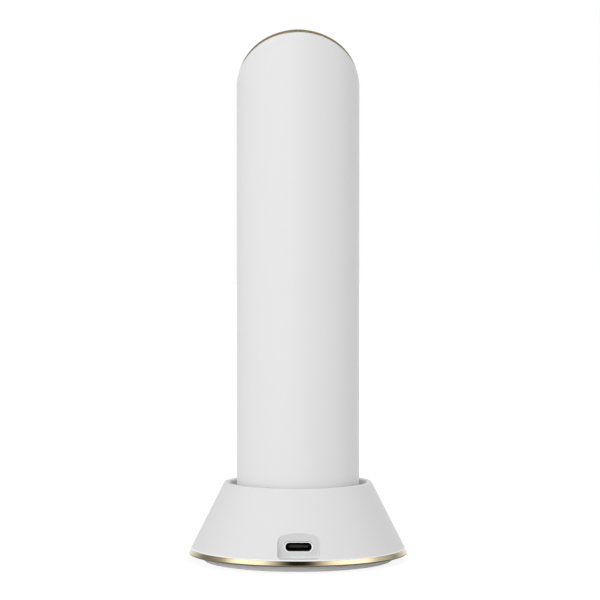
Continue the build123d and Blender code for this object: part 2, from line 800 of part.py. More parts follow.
with BuildPart() as inner_frame:
    with BuildSketch(Plane.XY.offset(cap_floor_z)):
        with Locations(*cap_screw_places):
            Circle(boss_radius)
    extrude(amount=frame_base_z - cap_floor_z)
    with BuildSketch(Plane.XY.offset(frame_base_z)):
        Circle(spigot_radius)
    extrude(amount=deck_thickness)
    with BuildSketch(Plane.XY.offset(frame_deck_z)):
        Circle(spigot_radius)
    extrude(amount=deck_thickness)
    with BuildSketch(Plane.XY.offset(shelf_z)):
        Circle(spigot_radius)
        with Locations((0, spine_front_y)):
            Rectangle(
                3 * spigot_radius,
                2 * spigot_radius,
                align=(Align.CENTER, Align.MIN),
                mode=Mode.SUBTRACT,
            )
    extrude(amount=deck_thickness)
    with BuildSketch(Plane.XY.offset(frame_base_z)):
        with Locations((0, spine_back_y)):
            Rectangle(spine_width, spine_thickness, align=(Align.CENTER, Align.MIN))
    extrude(amount=frame_top_z - frame_base_z)
    for cradle_z in (battery_mid_z - cradle_spacing / 2, battery_mid_z + cradle_spacing / 2):
        with BuildSketch(Plane.XY.offset(cradle_z - cradle_height / 2)):
            with Locations((0, battery_y)):
                Circle(cradle_radius)
                Circle(cradle_radius - cradle_thickness, mode=Mode.SUBTRACT)
        extrude(amount=cradle_height)
    with BuildSketch(Plane.XY.offset(motor_z)):
        with Locations((0, battery_y)):
            Circle(motor_radius + pin_gap + cradle_thickness)
            Rectangle(
                motor_radius,
                spine_back_y - battery_y + spine_thickness / 2,
                align=(Align.CENTER, Align.MIN),
            )
            Circle(motor_radius + pin_gap, mode=Mode.SUBTRACT)
    extrude(amount=motor_length / 2)
    with BuildSketch(Plane.XZ.offset(-spine_front_y)):
        with Locations((0, (post_low_z + post_high_z) / 2)):
            with GridLocations(post_spacing, post_high_z - post_low_z, 2, 2):
                Circle(standoff_radius)
    extrude(amount=-(board_back_y - spine_front_y))
    with BuildSketch(Plane.XZ.offset(-board_back_y)):
        with Locations((0, (post_low_z + post_high_z) / 2)):
            with GridLocations(post_spacing, post_high_z - post_low_z, 2, 2):
                Circle(small_screw_radius + pin_gap)
    extrude(amount=small_screw_length - board_thickness, mode=Mode.SUBTRACT)
    with BuildSketch(Plane.XY.offset(cap_floor_z)):
        with Locations(*cap_screw_places):
            Circle(screw_radius + pin_gap)
    extrude(amount=screw_length, mode=Mode.SUBTRACT)
    with BuildSketch(Plane.XY.offset(frame_base_z)):
        with Locations(*contact_places):
            Circle(lead_radius + free_gap)
    extrude(amount=deck_thickness, mode=Mode.SUBTRACT)
    with BuildSketch(Plane.XZ.offset(-spine_back_y)):
        with Locations((0, battery_board_top_z)):
            Rectangle(window_width, shelf_z - battery_board_top_z, align=(Align.CENTER, Align.MIN))
    extrude(amount=-spine_thickness, mode=Mode.SUBTRACT)
    with BuildSketch(Plane.XY.offset(frame_deck_z)):
        with Locations((0, board_face_y + flex_thickness)):
            Rectangle(flex_width + 2 * free_gap, flex_thickness + 2 * free_gap)
    extrude(amount=deck_thickness, mode=Mode.SUBTRACT)
inner_frame.part.label = "inner_frame"
export_step(inner_frame.part, "parts/inner_frame.step")

# Handset: battery, its protection board and its leads

with BuildPart() as battery_cell:
    with BuildSketch(Plane.XY.offset(frame_floor_z)):
        with Locations((0, battery_y)):
            Circle(battery_radius)
    extrude(amount=battery_length)
    fillet(battery_cell.edges().filter_by(GeomType.CIRCLE), radius=free_gap)
battery_cell.part.label = "battery_cell"
export_step(battery_cell.part, "parts/battery_cell.step")

with BuildPart() as battery_board:
    with BuildSketch(Plane.XY.offset(battery_top_z)):
        with Locations((0, battery_y)):
            Circle(battery_radius - free_gap)
    extrude(amount=battery_board_thickness)
battery_board.part.label = "battery_board"
export_step(battery_board.part, "parts/battery_board.step")

with BuildPart() as battery_leads:
    with BuildSketch(Plane.XZ.offset(-battery_y)):
        with Locations((0, battery_board_top_z + lead_radius)):
            with GridLocations(contact_pitch / 2, 1, 2, 1):
                Circle(lead_radius)
    extrude(amount=-(contact_offset - battery_y))
battery_leads.part.label = "battery_leads"
export_step(battery_leads.part, "parts/battery_leads.step")

with BuildPart() as charge_leads:
    with BuildSketch(Plane.XY.offset(contact_top_z)):
        with Locations(*contact_places):
            Circle(lead_radius)
    extrude(amount=board_start_z + post_inset - contact_top_z)
charge_leads.part.label = "charge_leads"
export_step(charge_leads.part, "parts/charge_leads.step")

# Handset: vibration motor on the shelf, with an eccentric weight on its shaft

weight_z = motor_top_z + motor_weight_gap
with BuildPart() as motor_can:
    with BuildSketch(Plane.XY.offset(motor_z)):
        with Locations((0, battery_y)):
            Circle(motor_radius)
    extrude(amount=motor_length)
    fillet(motor_can.edges().filter_by(GeomType.CIRCLE).sort_by(Axis.Z)[-1], radius=free_gap)
    with BuildSketch(Plane.XY.offset(motor_top_z)):
        with Locations((0, battery_y)):
            Circle(motor_shaft_radius + pin_gap)
    extrude(amount=-motor_shaft_depth - touch_gap, mode=Mode.SUBTRACT)
motor_can.part.label = "motor_can"
export_step(motor_can.part, "parts/motor_can.step")

with BuildPart() as motor_weight:
    with BuildSketch(Plane.XY.offset(weight_z)):
        with Locations((0, battery_y)):
            Circle(motor_weight_radius)
            Rectangle(
                2 * motor_weight_radius,
                motor_weight_radius,
                align=(Align.CENTER, Align.MIN),
                mode=Mode.SUBTRACT,
            )
            Circle(2 * motor_shaft_radius)
    extrude(amount=motor_weight_height)
    with BuildSketch(Plane.XY.offset(motor_top_z - motor_shaft_depth)):
        with Locations((0, battery_y)):
            Circle(motor_shaft_radius)
    extrude(amount=motor_shaft_depth + motor_weight_gap)
motor_weight.part.label = "motor_weight"
export_step(motor_weight.part, "parts/motor_weight.step")

# Handset: main board, screwed to four posts, with its parts on both sides

middle_z = (post_low_z + post_high_z) / 2

with BuildPart() as main_board:
    with BuildSketch(Plane.XZ.offset(-board_back_y)):
        with Locations((0, board_start_z)):
            Rectangle(main_board_width, main_board_length, align=(Align.CENTER, Align.MIN))
        with Locations((0, middle_z)):
            with GridLocations(post_spacing, post_high_z - post_low_z, 2, 2):
                Circle(small_screw_radius + pin_gap, mode=Mode.SUBTRACT)
    extrude(amount=-board_thickness)
main_board.part.label = "main_board"
export_step(main_board.part, "parts/main_board.step")

with BuildPart() as main_board_screws:
    with BuildSketch(Plane.XZ.offset(-board_face_y)):
        with Locations((0, middle_z)):
            with GridLocations(post_spacing, post_high_z - post_low_z, 2, 2):
                Circle(small_screw_head_radius)
    extrude(amount=-small_screw_head_height)
    with BuildSketch(Plane.XZ.offset(-board_face_y)):
        with Locations((0, middle_z)):
            with GridLocations(post_spacing, post_high_z - post_low_z, 2, 2):
                Circle(small_screw_radius)
    extrude(amount=small_screw_length)
main_board_screws.part.label = "main_board_screws"
export_step(main_board_screws.part, "parts/main_board_screws.step")

small_chip_z = power_z - switch_width / 2 - chip_gap
driver_z = small_chip_z - small_chip_length / 2 - chip_gap
chip_z = driver_z - driver_size / 2 - chip_gap - chip_size / 2
with BuildPart() as main_board_chips:
    with BuildSketch(Plane.XZ.offset(-board_face_y)):
        with Locations((0, chip_z)):
            Rectangle(chip_size, chip_size)
            with GridLocations(post_spacing - passive_length, passive_pitch, 2, 4):
                Rectangle(passive_length, passive_width)
        with Locations((0, driver_z)):
            Rectangle(driver_width, driver_size)
        with Locations((0, small_chip_z)):
            with GridLocations(chip_size, 1, 2, 1):
                Rectangle(small_chip_width, small_chip_length)
    extrude(amount=-chip_height)
main_board_chips.part.label = "main_board_chips"
export_step(main_board_chips.part, "parts/main_board_chips.step")

flex_connector_z = light_z[-1] + light_pitch
connector_width = contact_pitch + 4 * lead_radius
with BuildPart() as main_board_connectors:
    with BuildSketch(Plane.XZ.offset(-board_back_y)):
        with Locations((0, post_low_z)):
            Rectangle(connector_width, connector_length, align=(Align.CENTER, Align.MIN))
        with Locations((0, battery_board_top_z + lead_radius)):
            Rectangle(connector_width, connector_length)
    extrude(amount=connector_height)
    with BuildSketch(Plane.XZ.offset(-board_face_y)):
        with Locations((0, board_end_z)):
            Rectangle(
                flex_width + 2 * free_gap,
                board_end_z - flex_connector_z,
                align=(Align.CENTER, Align.MAX),
            )
    extrude(amount=-3 * flex_thickness)
main_board_connectors.part.label = "main_board_connectors"
export_step(main_board_connectors.part, "parts/main_board_connectors.step")

coil_z = (post_low_z + battery_board_top_z) / 2
with BuildPart() as transformer:
    with BuildSketch(Plane.XZ.offset(-board_back_y)):
        with Locations((0, coil_z)):
            Rectangle(back_part_width, back_part_width * bobbin_share)
    extrude(amount=back_part_height)
    with BuildSketch(Plane.XZ.offset(-board_back_y)):
        with Locations((0, coil_z)):
            Rectangle(back_part_width * bobbin_share, back_part_width)
    extrude(amount=back_part_height * bobbin_share)
transformer.part.label = "transformer"
export_step(transformer.part, "parts/transformer.step")

capacitor_pitch = 2 * capacitor_radius + capacitor_gap
with BuildPart() as capacitors:
    with BuildSketch(Plane.XZ.offset(-board_back_y)):
        with Locations((0, mode_z)):
            with GridLocations(capacitor_pitch, capacitor_pitch, 3, 2):
                Circle(capacitor_radius)
    extrude(amount=back_part_height)
    fillet(capacitors.faces().group_by(Axis.Y)[0].edges(), radius=capacitor_radius / 5)
capacitors.part.label = "capacitors"
export_step(capacitors.part, "parts/capacitors.step")

# Handset: control panel, curved like the sleeve and held by a flange inside it

inner_pill = curved_pill(
    panel_width + 2 * panel_margin, panel_length + 2 * panel_margin, panel_inner, spigot_radius
)
outer_pill = curved_pill(
    panel_width - 2 * slip_gap, panel_length - 2 * slip_gap, panel_inner, handset_radius
)

with BuildPart() as control_panel:
    add(inner_pill)
    add(outer_pill)
    with BuildSketch(Plane.XZ):
        with Locations((0, power_z), (0, mode_z)):
            Circle(button_radius + slip_gap + touch_gap)
        with Locations(*[(0, z) for z in light_z]):
            Circle(light_radius + pin_gap)
    extrude(amount=-2 * handset_radius, mode=Mode.SUBTRACT)
control_panel.part.label = "control_panel"
export_step(control_panel.part, "parts/control_panel.step")

# Handset: two push buttons, each over a small switch whose plunger moves with it

for name, button_z in (("power", power_z), ("mode", mode_z)):
    with BuildPart() as button:
        with BuildSketch(Plane.XZ.offset(-button_back_y)):
            with Locations((0, button_z)):
                Circle(button_radius)
        extrude(amount=-(handset_radius + button_proud - button_back_y))
        with BuildSketch(Plane.XY.offset(button_z - button_radius)):
            Circle(handset_radius + button_proud)
        extrude(amount=2 * button_radius, mode=Mode.INTERSECT)
        fillet(button.faces().sort_by(Axis.Y)[-1].edges(), radius=button_rounding)
        with BuildSketch(Plane.XZ.offset(-button_back_y)):
            with Locations((0, button_z)):
                Circle(button_flange_radius)
        extrude(amount=-button_flange_height)
        with BuildSketch(Plane.XZ.offset(-button_back_y)):
            with Locations((0, button_z)):
                Circle(button_stem_radius)
        extrude(amount=button_stem_length)
    button.part.label = name + "_button"
    export_step(button.part, "parts/" + name + "_button.step")

    with BuildPart() as plunger:
        with BuildSketch(Plane.XZ.offset(-plunger_top_y)):
            with Locations((0, button_z)):
                Circle(switch_plunger_radius)
        extrude(amount=switch_plunger_proud + switch_plunger_sunk)
    plunger.part.label = name + "_switch_plunger"
    export_step(plunger.part, "parts/" + name + "_switch_plunger.step")

with BuildPart() as button_switches:
    with BuildSketch(Plane.XZ.offset(-board_face_y)):
        with Locations((0, power_z), (0, mode_z)):
            Rectangle(switch_width, switch_width)
    extrude(amount=-switch_height)
    with BuildSketch(Plane.XZ.offset(-board_face_y - switch_height)):
        with Locations((0, power_z), (0, mode_z)):
            Circle(switch_plunger_radius + pin_gap)
    extrude(amount=switch_plunger_sunk + button_travel + 2 * slip_gap, mode=Mode.SUBTRACT)
button_switches.part.label = "button_switches"
export_step(button_switches.part, "parts/button_switches.step")

# Handset: level lights, clear pipes that carry the light of four small lamps to the surface

with BuildPart() as indicator_leds:
    with BuildSketch(Plane.XZ.offset(-board_face_y)):
        with Locations(*[(0, z) for z in light_z]):
            Rectangle(led_width, led_width)
    extrude(amount=-led_height)
indicator_leds.part.label = "indicator_leds"
export_step(indicator_leds.part, "parts/indicator_leds.step")

with BuildPart() as light_pipes:
    with BuildSketch(Plane.XZ.offset(-board_face_y - led_height - touch_gap)):
        with Locations(*[(0, z) for z in light_z]):
            Circle(light_radius)
    extrude(amount=-handset_radius)
    with BuildSketch(Plane.XY.offset(light_z[0] - light_radius)):
        Circle(handset_radius)
    extrude(amount=light_z[-1] - light_z[0] + 2 * light_radius, mode=Mode.INTERSECT)
light_pipes.part.label = "light_pipes"
export_step(light_pipes.part, "parts/light_pipes.step")

# Treatment head: gold bezel pushed into the sleeve, treatment plate held under its lip,
# gasket, and a carrier that stands on the inner frame and holds the head board

head_up = Axis(origin=head_plane.origin, direction=head_plane.z_dir)

with BuildPart() as head_bezel:
    slanted_disc(bezel_radius, 0, bezel_proud)
    slanted_disc(spigot_radius, -bezel_depth, 0)
    slanted_disc(seat_radius, -bezel_depth, -bezel_lip, mode=Mode.SUBTRACT)
    slanted_disc(opening_radius, -bezel_depth, bezel_proud, mode=Mode.SUBTRACT)
    fillet(head_bezel.faces().sort_by(head_up)[-1].edges(), radius=bezel_proud / 3)
head_bezel.part.label = "head_bezel"
export_step(head_bezel.part, "parts/head_bezel.step")

with BuildPart() as treatment_plate:
    slanted_disc(opening_radius - slip_gap, plate_flange_bottom, plate_proud)
    fillet(treatment_plate.faces().sort_by(head_up)[-1].edges(), radius=plate_rounding)
    slanted_disc(seat_radius - slip_gap, plate_flange_bottom, -bezel_lip)
    with BuildSketch(head_plane.offset(plate_flange_bottom)):
        with GridLocations(electrode_pitch_x, electrode_pitch_y, 2, 2):
            Circle(electrode_stem_radius + pin_gap)
        SlotOverall(lens_length + 2 * pin_gap, 2 * (lens_radius + pin_gap), rotation=90)
        with Locations((0, sensor_offset)):
            Circle(sensor_radius + pin_gap)
    extrude(amount=plate_proud - plate_flange_bottom, mode=Mode.SUBTRACT)
treatment_plate.part.label = "treatment_plate"
export_step(treatment_plate.part, "parts/treatment_plate.step")

with BuildPart() as head_gasket:
    slanted_disc(seat_radius - slip_gap, carrier_top, plate_flange_bottom)
    slanted_disc(seat_radius - slip_gap - gasket_width, carrier_top, plate_flange_bottom, mode=Mode.SUBTRACT)
head_gasket.part.label = "head_gasket"
export_step(head_gasket.part, "parts/head_gasket.step")

with BuildPart() as head_carrier:
    with BuildSketch(Plane.XY.offset(frame_top_z)):
        Circle(carrier_radius)
        Circle(carrier_inner, mode=Mode.SUBTRACT)
    extrude(amount=whole_height - frame_top_z)
    split(bisect_by=head_plane.offset(carrier_top), keep=Keep.BOTTOM)
    slanted_disc(carrier_inner + carrier_wall / 2, ledge_bottom, head_board_bottom)
    with BuildSketch(Plane.XY.offset(frame_top_z)):
        Circle(carrier_inner - ledge_width)
    extrude(amount=whole_height - frame_top_z, mode=Mode.SUBTRACT)
head_carrier.part.label = "head_carrier"
export_step(head_carrier.part, "parts/head_carrier.step")

with BuildPart() as head_board:
    slanted_disc(carrier_inner - slip_gap, head_board_bottom, head_board_top)
head_board.part.label = "head_board"
export_step(head_board.part, "parts/head_board.step")

with BuildPart() as head_leds:
    with BuildSketch(head_plane.offset(head_board_top)):
        with GridLocations(lens_radius, lens_radius, 2, 3):
            Rectangle(led_width, led_width)
    extrude(amount=led_height)
head_leds.part.label = "head_leds"
export_step(head_leds.part, "parts/head_leds.step")

with BuildPart() as head_electrodes:
    with BuildSketch(head_plane.offset(plate_proud)):
        with GridLocations(electrode_pitch_x, electrode_pitch_y, 2, 2):
            Circle(electrode_radius)
    extrude(amount=electrode_height)
    fillet(head_electrodes.faces().group_by(head_up)[-1].edges(), radius=electrode_rounding)
    with BuildSketch(head_plane.offset(head_board_top)):
        with GridLocations(electrode_pitch_x, electrode_pitch_y, 2, 2):
            Circle(electrode_stem_radius)
    extrude(amount=plate_proud - head_board_top)
head_electrodes.part.label = "head_electrodes"
export_step(head_electrodes.part, "parts/head_electrodes.step")

with BuildPart() as head_lens:
    with BuildSketch(head_plane.offset(plate_proud + lens_proud)):
        SlotOverall(lens_length, 2 * lens_radius, rotation=90)
    extrude(amount=-lens_depth)
    fillet(head_lens.faces().sort_by(head_up)[-1].edges(), radius=lens_proud * tip_share)
head_lens.part.label = "head_lens"
export_step(head_lens.part, "parts/head_lens.step")

with BuildPart() as temperature_sensor:
    with BuildSketch(head_plane.offset(head_board_top)):
        with Locations((0, sensor_offset)):
            Circle(sensor_radius)
    extrude(amount=plate_proud + sensor_proud - head_board_top)
    fillet(temperature_sensor.faces().sort_by(head_up)[-1].edges(), radius=sensor_proud * tip_share)
temperature_sensor.part.label = "temperature_sensor"
export_step(temperature_sensor.part, "parts/temperature_sensor.step")

# Treatment head: flat cable from the main board up to the head board

with BuildPart() as head_flex:
    with BuildSketch(Plane.XY.offset(board_end_z)):
        with Locations((0, board_face_y + flex_thickness)):
            Rectangle(flex_width, flex_thickness)
    extrude(amount=whole_height - board_end_z)
    split(bisect_by=head_plane.offset(head_board_bottom), keep=Keep.BOTTOM)
head_flex.part.label = "head_flex"
export_step(head_flex.part, "parts/head_flex.step")
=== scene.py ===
import bmesh
import bpy
from math import cos, hypot, pi, radians, sin, sqrt
from mathutils import Matrix, Vector


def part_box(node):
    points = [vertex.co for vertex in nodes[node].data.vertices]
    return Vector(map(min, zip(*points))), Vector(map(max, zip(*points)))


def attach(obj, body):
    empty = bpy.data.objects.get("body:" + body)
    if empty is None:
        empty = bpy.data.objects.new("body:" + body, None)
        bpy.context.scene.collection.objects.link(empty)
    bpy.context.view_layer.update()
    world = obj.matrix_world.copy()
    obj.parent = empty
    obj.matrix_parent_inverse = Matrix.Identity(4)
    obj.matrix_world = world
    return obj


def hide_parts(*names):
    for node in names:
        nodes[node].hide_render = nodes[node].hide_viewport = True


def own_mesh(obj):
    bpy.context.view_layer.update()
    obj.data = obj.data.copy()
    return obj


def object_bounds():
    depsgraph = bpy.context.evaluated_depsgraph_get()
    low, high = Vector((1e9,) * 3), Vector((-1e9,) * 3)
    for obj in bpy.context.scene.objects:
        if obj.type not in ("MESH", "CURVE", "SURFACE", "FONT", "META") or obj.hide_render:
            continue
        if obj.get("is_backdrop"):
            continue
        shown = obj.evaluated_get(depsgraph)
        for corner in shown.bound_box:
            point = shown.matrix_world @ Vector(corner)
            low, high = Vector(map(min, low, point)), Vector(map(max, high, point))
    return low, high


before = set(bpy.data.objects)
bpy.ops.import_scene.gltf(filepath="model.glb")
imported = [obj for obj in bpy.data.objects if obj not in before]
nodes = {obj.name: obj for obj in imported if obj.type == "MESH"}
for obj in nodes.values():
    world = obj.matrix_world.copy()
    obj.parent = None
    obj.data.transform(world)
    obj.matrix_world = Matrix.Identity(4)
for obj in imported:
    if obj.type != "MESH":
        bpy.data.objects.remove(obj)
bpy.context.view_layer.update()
view = bpy.context.scene
view.view_settings.view_transform = "Standard"

# Dock foot: a flat ring of grey silicone rubber, pressed in a hot mould and stuck under the
# dock. Its underside has concentric ribs for grip, and its surface is dull all over.
# Pieces are shaped in millimetres, and finish_piece turns them to metres.
MM = 0.001
STEPS_ROUND = 192
PICK_WITHIN = 0.002
MERGE_WITHIN = 0.0001
SHARP_ANGLE = radians(35)
NOISE_LOW, NOISE_HIGH = 0.3, 0.7
MIXED_COLOUR = 2


def linear(code):
    """An sRGB hex colour as the linear values that shaders take."""
    levels = [int(code[i:i + 2], 16) / 255 for i in (0, 2, 4)]
    return [v / 12.92 if v <= 0.04045 else ((v + 0.055) / 1.055) ** 2.4 for v in levels] + [1.0]


def add_node(material, kind, settings=None, links=None):
    """One shader node: settings are its properties and sockets, links its incoming wires."""
    node = material.node_tree.nodes.new("ShaderNode" + kind)
    sockets = {socket.identifier: socket for socket in node.inputs}
    for name, value in (settings or {}).items():
        if name in sockets:
            sockets[name].default_value = value
        else:
            setattr(node, name, value)
    for name, source in (links or {}).items():
        material.node_tree.links.new(source, sockets[name])
    return node


def shader_of(material):
    """The shader that gives the material its surface."""
    return material.node_tree.nodes["Principled BSDF"]


def new_material(name, colour, roughness, others=None):
    """A material whose constant values sit on the shader's own sockets."""
    material = bpy.data.materials.new(name)
    material.use_nodes = True
    constants = {"Base Color": linear(colour), "Roughness": roughness, **(others or {})}
    for socket, value in constants.items():
        shader_of(material).inputs[socket].default_value = value
    return material


def place_in(material):
    """The surface's place on the piece, which every pattern starts from."""
    found = [node for node in material.node_tree.nodes if node.type == "TEX_COORD"]
    return (found or [add_node(material, "TexCoord")])[0].outputs["Object"]


def mottle(material, other, size):
    """Lets the colour drift towards another one over this many millimetres."""
    shader = shader_of(material)
    noise = add_node(
        material, "TexNoise", {"Scale": 1 / (size * MM), "Detail": 3.0}, {"Vector": place_in(material)}
    )
    colours = {"A_Color": shader.inputs["Base Color"].default_value, "B_Color": linear(other)}
    mix = add_node(
        material, "Mix", {"data_type": "RGBA", **colours}, {"Factor_Float": noise.outputs["Fac"]}
    )
    material.node_tree.links.new(mix.outputs[MIXED_COLOUR], shader.inputs["Base Color"])


def wander(material, low, high, size):
    """Lets the roughness wander between two values over this many millimetres."""
    noise = add_node(
        material, "TexNoise", {"Scale": 1 / (size * MM), "Detail": 4.0}, {"Vector": place_in(material)}
    )
    spread = add_node(
        material,
        "MapRange",
        {"From Min": NOISE_LOW, "From Max": NOISE_HIGH, "To Min": low, "To Max": high},
        {"Value": noise.outputs["Fac"]},
    )
    material.node_tree.links.new(spread.outputs["Result"], shader_of(material).inputs["Roughness"])


def grain(material, size, depth):
    """Relief left by the mould or the tool, with its grain and depth in millimetres."""
    noise = add_node(
        material, "TexNoise", {"Scale": 1 / (size * MM), "Detail": 2.0}, {"Vector": place_in(material)}
    )
    bump = add_node(material, "Bump", {"Distance": depth * MM}, {"Height": noise.outputs["Fac"]})
    material.node_tree.links.new(bump.outputs["Normal"], shader_of(material).inputs["Normal"])


def lathe(points, closed=True):
    """A turned shape: its section in millimetres, spun about the upright axis."""
    shape = bmesh.new()
    corners = [shape.verts.new((radius, 0, height)) for radius, height in points]
    pairs = list(zip(corners, corners[1:] + corners[:1]))
    outline = [shape.edges.new(pair) for pair in (pairs if closed else pairs[:-1])]
    bmesh.ops.spin(
        shape,
        geom=corners + outline,
        axis=(0, 0, 1),
        cent=(0, 0, 0),
        angle=2 * pi,
        steps=STEPS_ROUND,
        use_merge=True,
    )
    bmesh.ops.remove_doubles(shape, verts=shape.verts, dist=MERGE_WITHIN)
    bmesh.ops.recalc_face_normals(shape, faces=shape.faces)
    return shape


def edges_where(shape, test):
    """The edges with both ends at places that pass the test."""
    return [edge for edge in shape.edges if all(test(v.co) for v in edge.verts)]


def round_off(shape, edges, size, segments=4):
    """Rounds these edges, with the size in millimetres."""
    bmesh.ops.bevel(
        shape, geom=edges, offset=size, affect="EDGES", segments=segments, profile=0.5, material=-1
    )


def round_ring(shape, corner, size):
    """Rounds a turned shape all round at this corner of its section."""
    radius, height = corner
    ring = edges_where(
        shape, lambda at: abs(hypot(at.x, at.y) - radius) + abs(at.z - height) < PICK_WITHIN
    )
    round_off(shape, ring, size)


def finish_piece(name, shape, materials, body, stands_for=()):
    """Turns a shape in millimetres into a piece in metres that rides on a CAD body."""
    for face in shape.faces:
        face.smooth = True
    for edge in shape.edges:
        edge.smooth = edge.calc_face_angle(pi) < SHARP_ANGLE
    bmesh.ops.scale(shape, vec=(MM, MM, MM), verts=shape.verts)
    mesh = bpy.data.meshes.new(name)
    shape.to_mesh(mesh)
    shape.free()
    for material in materials:
        mesh.materials.append(material)
    piece = bpy.data.objects.new(name, mesh)
    view.collection.objects.link(piece)
    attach(piece, body)
    if stands_for:
        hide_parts(*stands_for)
    return piece


silicone = new_material("silicone_rubber_moulded", "e6e5e7", 0.75, {"IOR": 1.41})
mottle(silicone, "dddcde", 3.0)
wander(silicone, 0.68, 0.85, 1.5)
grain(silicone, 0.25, 0.01)

PAD_HOLE = 12.0
PAD_SOLE = 30.9
PAD_TOP = 31.2
PAD_HEIGHT = 1.3
PAD_ROUND = 0.25
GROOVES = 5
GROOVE_START = 15.0
GROOVE_PITCH = 3.0
GROOVE_DEPTH = 0.35
GROOVE_MOUTH = 0.6
GROOVE_BED = 0.4
pad_section = [(PAD_HOLE, 0.0)]
for groove in range(GROOVES):
    middle = GROOVE_START + GROOVE_PITCH * groove
    pad_section += [
        (middle - GROOVE_MOUTH, 0.0),
        (middle - GROOVE_BED, GROOVE_DEPTH),
        (middle + GROOVE_BED, GROOVE_DEPTH),
        (middle + GROOVE_MOUTH, 0.0),
    ]
pad_section += [(PAD_SOLE, 0.0), (PAD_TOP, PAD_HEIGHT), (PAD_HOLE, PAD_HEIGHT)]
foot_pad = lathe(pad_section)
round_ring(foot_pad, (PAD_SOLE, 0.0), PAD_ROUND)
finish_piece("dock_foot_ribbed", foot_pad, [silicone], "dock", ["dock_foot_pad"])

# Dock base plate and socket: light grey ABS, injection moulded with a fine eroded surface.
# The plate's edge shows under the gold ring, and the socket in the gap round the handset.
grey_abs = new_material("abs_moulded_grey", "eae9eb", 0.5, {"IOR": 1.54})
mottle(grey_abs, "e5e4e6", 4.0)
wander(grey_abs, 0.45, 0.6, 2.0)
grain(grey_abs, 0.2, 0.004)


def dress(material, *names):
    """Gives CAD nodes this material."""
    for name in names:
        for slot in nodes[name].material_slots:
            slot.material = material


dress(grey_abs, "dock_base_plate", "dock_socket")

# Gold ring round the dock's lower edge: an aluminium strip, bent into a hoop, polished and
# anodised champagne gold under a clear film of alumina. Its face leans out, and the faces that
# turn under it are a dull dark olive: painted shade under the ring.
film = {"Coat Weight": 1.0, "Coat IOR": 1.76, "Coat Roughness": 0.12}
gold = new_material("aluminium_polished_anodised_gold", "e7d7ab", 0.15, {"Metallic": 1.0, **film})
mottle(gold, "e3d2a4", 9.0)
wander(gold, 0.13, 0.17, 6.0)
grain(gold, 0.4, 0.0002)
# Dull dark olive for the faces under the ring: painted shade.
underside_painted_shade = new_material("aluminium_cut_edge_anodised", "6f6b59", 0.55, {"Metallic": 1.0})
mottle(underside_painted_shade, "656151", 2.0)
wander(underside_painted_shade, 0.45, 0.65, 1.0)

RING_BACK = 33.5
RING_TOP = Vector((34.92, 3.9))
RING_EDGE = Vector((35.84, 2.55))
RING_FOOT = Vector((35.5, 2.1))
RING_ROUND = 0.05
RING_EDGE_ROUND = 0.07
# Two more circles on the leaning face, near its edges, keep its shading flat between them.
FLAT_FROM, FLAT_TO = 0.07, 0.92
UNDERSIDE = -0.1
ring = lathe(
    [(RING_BACK, RING_TOP.y)]
    + [RING_TOP.lerp(RING_EDGE, share) for share in (0, FLAT_FROM, FLAT_TO, 1)]
    + [RING_FOOT, (RING_BACK, RING_FOOT.y)]
)
# Faces that look down take the dark olive material, as painted shade under the ring.
for face in ring.faces:
    face.material_index = 1 if face.normal.z < UNDERSIDE else 0
round_ring(ring, RING_EDGE, RING_EDGE_ROUND)
round_ring(ring, RING_FOOT, RING_ROUND)
round_ring(ring, RING_TOP, RING_ROUND)
finish_piece("dock_gold_ring", ring, [gold, underside_painted_shade], "dock", ["dock_trim_ring"])

# White shells: ABS, injection moulded and sprayed with a satin lacquer that feels soft.
# The lacquer evens the mould's grain out to a faint, fine ripple and a broad sheen.
def satin_lacquer(name, tone, cloud):
    """Sprayed white lacquer: its tone, and the tone of the faint clouds in it."""
    lacquer = new_material(name, tone, 0.5, {"IOR": 1.45})
    mottle(lacquer, cloud, 25.0)
    wander(lacquer, 0.46, 0.54, 8.0)
    grain(lacquer, 0.3, 0.0012)
    return lacquer


white = satin_lacquer("abs_white_satin_lacquer", "e6e6e6", "e4e4e4")
dress(white, "handset_sleeve", "bottom_cap")

# Dock shell: the same lacquered ABS, a touch greyer. The upright faces of the recess for the plug
# are greyer still: painted shade in the recess.
cone_lacquer = satin_lacquer("abs_white_satin_lacquer_painted_recess_shade", "e2e2e2", "e0e0e0")
LEAN_LIMIT = 0.4
RECESS_START = -28.0 * MM
facing = add_node(cone_lacquer, "NewGeometry")
way_out = add_node(cone_lacquer, "SeparateXYZ", links={"Vector": facing.outputs["True Normal"]})
spot = add_node(cone_lacquer, "SeparateXYZ", links={"Vector": place_in(cone_lacquer)})
in_front = add_node(
    cone_lacquer,
    "Math",
    {"operation": "LESS_THAN", "Value_001": RECESS_START},
    {"Value": spot.outputs["Y"]},
)
steep = add_node(
    cone_lacquer,
    "Math",
    {"operation": "LESS_THAN", "Value_001": LEAN_LIMIT},
    {"Value": way_out.outputs["Z"]},
)
# Painted shade: the upright faces in front of the recess take the greyer colour.
recess_shade = add_node(
    cone_lacquer,
    "Math",
    {"operation": "MULTIPLY"},
    {"Value": in_front.outputs[0], "Value_001": steep.outputs[0]},
)
sprayed = shader_of(cone_lacquer).inputs["Base Color"].links[0].from_socket
two_shades = add_node(
    cone_lacquer,
    "Mix",
    {"data_type": "RGBA", "B_Color": linear("d5d5d5")},
    {"Factor_Float": recess_shade.outputs[0], "A_Color": sprayed},
)
cone_lacquer.node_tree.links.new(
    two_shades.outputs[MIXED_COLOUR], shader_of(cone_lacquer).inputs["Base Color"]
)
dress(cone_lacquer, "dock_shell")
